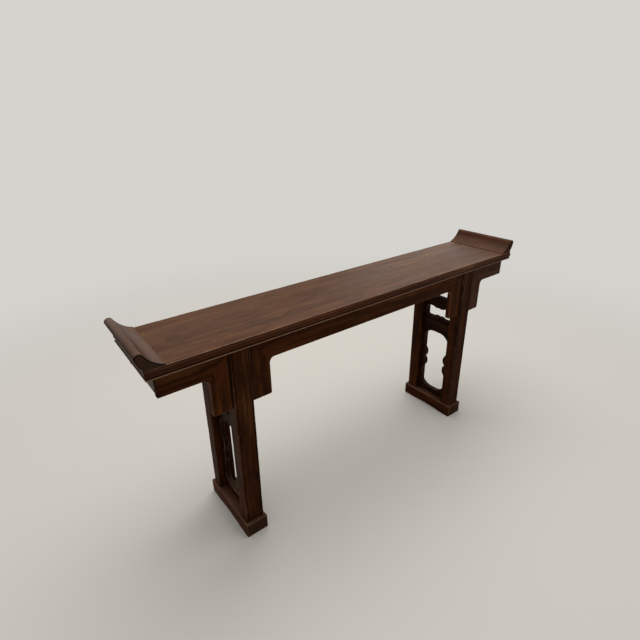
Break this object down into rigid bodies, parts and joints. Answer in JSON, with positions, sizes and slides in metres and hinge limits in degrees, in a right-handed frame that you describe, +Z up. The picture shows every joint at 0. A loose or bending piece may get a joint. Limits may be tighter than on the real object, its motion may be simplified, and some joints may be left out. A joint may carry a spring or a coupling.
{
  "type": "altar table",
  "caption": "Long narrow altar table with everted scrolled ends, slotted legs through mitred aprons and spandrels, and pierced panels in trestles on sledge feet.",
  "frame": {"origin": "on the floor under the middle of the table", "axes": "+X along the table, +Y towards its back, +Z up"},
  "size_m": [1.718, 0.299, 0.8435],
  "materials": {
    "top_wood": "worn satin lacquer",
    "frame_wood": "worn satin lacquer",
    "panel_wood": "worn satin lacquer",
    "hidden_wood": "bare aged wood"
  },
  "bodies": {
    "root": {"apron_back": "frame_wood", "apron_front": "frame_wood", "batten_1": "hidden_wood", "batten_2": "hidden_wood", "batten_3": "hidden_wood", "batten_4": "hidden_wood", "batten_5": "hidden_wood", "crossbar_middle_left": "frame_wood", "crossbar_middle_right": "frame_wood", "crossbar_upper_left": "frame_wood", "crossbar_upper_right": "frame_wood", "end_apron_left": "frame_wood", "end_apron_right": "frame_wood", "foot_left": "frame_wood", "foot_right": "frame_wood", "leg_back_left": "frame_wood", "leg_back_right": "frame_wood", "leg_front_left": "frame_wood", "leg_front_right": "frame_wood", "panel_lower_left": "panel_wood", "panel_lower_right": "panel_wood", "panel_upper_left": "panel_wood", "panel_upper_right": "panel_wood", "spandrel_back_left": "frame_wood", "spandrel_back_right": "frame_wood", "spandrel_front_left": "frame_wood", "spandrel_front_right": "frame_wood", "top_end_left": "top_wood", "top_end_right": "top_wood", "top_panel": "top_wood", "top_rail_back": "top_wood", "top_rail_front": "top_wood"}
  },
  "joints": []
}
